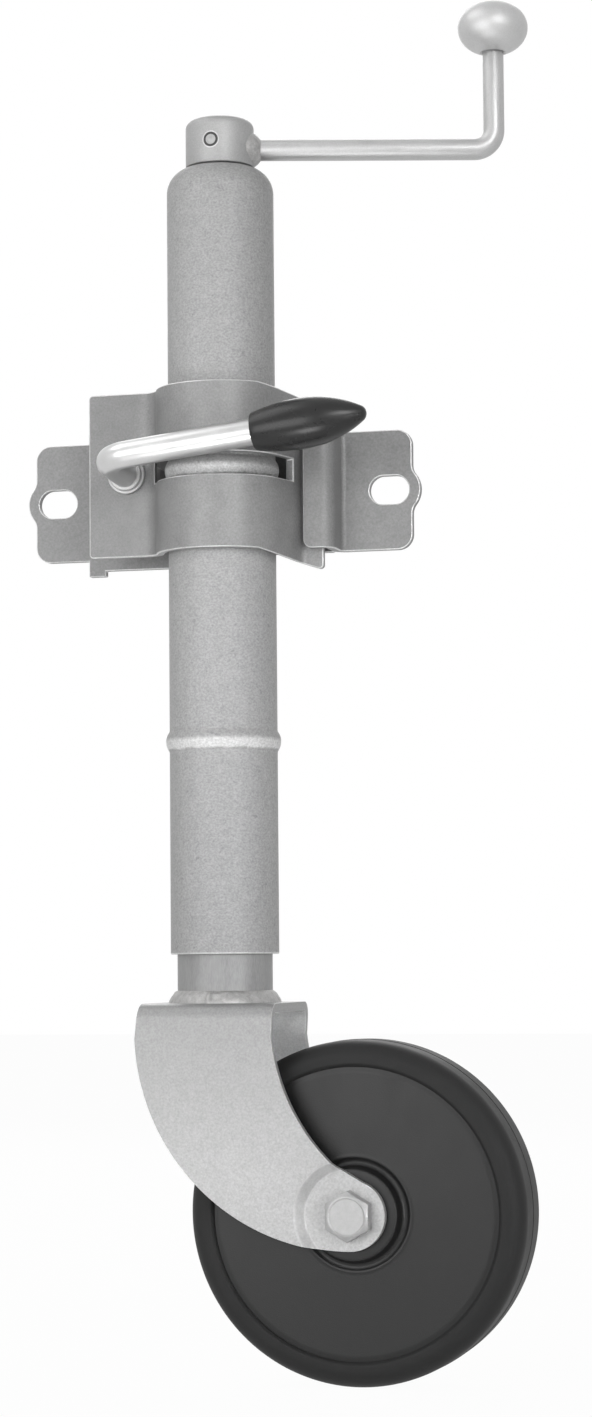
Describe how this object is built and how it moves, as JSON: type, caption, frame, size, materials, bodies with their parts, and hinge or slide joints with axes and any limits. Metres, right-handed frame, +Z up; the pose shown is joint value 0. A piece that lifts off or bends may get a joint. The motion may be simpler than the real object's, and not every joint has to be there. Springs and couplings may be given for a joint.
{
  "type": "trailer jockey wheel",
  "caption": "Trailer jockey wheel: telescopic stem wound by a top crank, fork with a solid wheel, and a bolt-on clamp bracket with a screw handle.",
  "frame": {"origin": "middle between the two bolt slots, on the back face of the clamp bracket", "axes": "+Z up along the stem, +Y into the surface the bracket is bolted to, +X towards the side where crank and wheel stand at rest"},
  "size_m": [0.2388, 0.0984, 0.6193],
  "materials": {
    "zinc_steel": "zinc plated pressed steel, satin",
    "bright_steel": "bright plated round steel",
    "galvanised_tube": "galvanised steel tube, matt and grainy",
    "hardened_steel": "plain hardened steel, oiled",
    "black_plastic": "black moulded plastic with a soft sheen",
    "cage_brass": "stamped brass",
    "nut_brass": "turned bronze",
    "bush_brass": "plain bronze bush",
    "black_rubber": "black solid rubber, fine matt texture",
    "wheel_plastic": "black moulded plastic disc, matt"
  },
  "bodies": {
    "bracket": {"base_plate": "zinc_steel", "hook_ear": "zinc_steel", "bracket_weld": "zinc_steel", "clamp_nut": "zinc_steel"},
    "clamp_plate": {"front_clamp_plate": "zinc_steel"},
    "clamp_washer": {"handle_washer": "zinc_steel"},
    "clamp_handle": {"handle_rod": "bright_steel", "handle_grip": "black_plastic"},
    "stem": {"outer_tube": "galvanised_tube", "tube_cap": "zinc_steel", "bearing_race_upper": "hardened_steel"},
    "crank": {"lift_screw": "hardened_steel", "bearing_race_lower": "hardened_steel", "crank_boss": "zinc_steel", "boss_pin": "hardened_steel", "crank_rod": "zinc_steel", "crank_weld": "zinc_steel", "crank_knob": "zinc_steel", "screw_stop": "hardened_steel", "stop_pin": "hardened_steel"},
    "bearing_cage": {"bearing_cage": "cage_brass", "bearing_balls": "hardened_steel"},
    "nut_carriage": {"lift_nut": "nut_brass"},
    "caster": {"leg_tube": "galvanised_tube", "swivel_pins": "hardened_steel", "fork": "zinc_steel", "fork_weld": "zinc_steel", "axle_sleeve": "zinc_steel", "axle_bolt": "zinc_steel", "axle_washer": "zinc_steel", "axle_nut": "zinc_steel"},
    "wheel": {"tyre": "black_rubber", "wheel_rim": "wheel_plastic", "hub_bush": "bush_brass"}
  },
  "joints": [
    {"name": "stem_slide", "type": "slide", "parent": "bracket", "child": "stem", "axis": [0, 0, 1], "range_m": [-0.09, 0.122]},
    {"name": "clamp_open", "type": "hinge", "parent": "bracket", "child": "clamp_plate", "pos_m": [0.0512, -0.0157, 0], "axis": [0, 0, 1], "range_deg": [0, 1.72]},
    {"name": "clamp_screw", "type": "slide", "parent": "bracket", "child": "clamp_washer", "axis": [0, -1, 0], "range_m": [0, 0.00301]},
    {"name": "handle_turn", "type": "hinge", "parent": "clamp_washer", "child": "clamp_handle", "pos_m": [-0.0359, -0.04, 0.0074], "axis": [0, -1, 0], "range_deg": [0, 540]},
    {"name": "crank_turn", "type": "hinge", "parent": "stem", "child": "crank", "pos_m": [0.0076, -0.0301, 0.15], "axis": [0, 0, -1], "range_deg": [0, 18000]},
    {"name": "cage_turn", "type": "hinge", "parent": "stem", "child": "bearing_cage", "pos_m": [0.0076, -0.0301, 0.117], "axis": [0, 0, -1], "range_deg": [0, 9000]},
    {"name": "lift", "type": "slide", "parent": "stem", "child": "nut_carriage", "axis": [0, 0, -1], "range_m": [0, 0.2001]},
    {"name": "swivel", "type": "hinge", "parent": "nut_carriage", "child": "caster", "pos_m": [0.0076, -0.0301, 0.077], "axis": [0, 0, 1], "continuous": true},
    {"name": "wheel_spin", "type": "hinge", "parent": "caster", "child": "wheel", "pos_m": [0.0706, -0.0301, -0.3216], "axis": [0, 1, 0], "continuous": true}
  ],
  "couplings": [
    {"joint": "clamp_screw", "follows": "handle_turn", "m_per_rad": 0.00031831},
    {"joint": "clamp_open", "follows": "handle_turn", "ratio": 0.0031667},
    {"joint": "lift", "follows": "crank_turn", "m_per_rad": 0.00063662},
    {"joint": "cage_turn", "follows": "crank_turn", "ratio": 0.5}
  ]
}
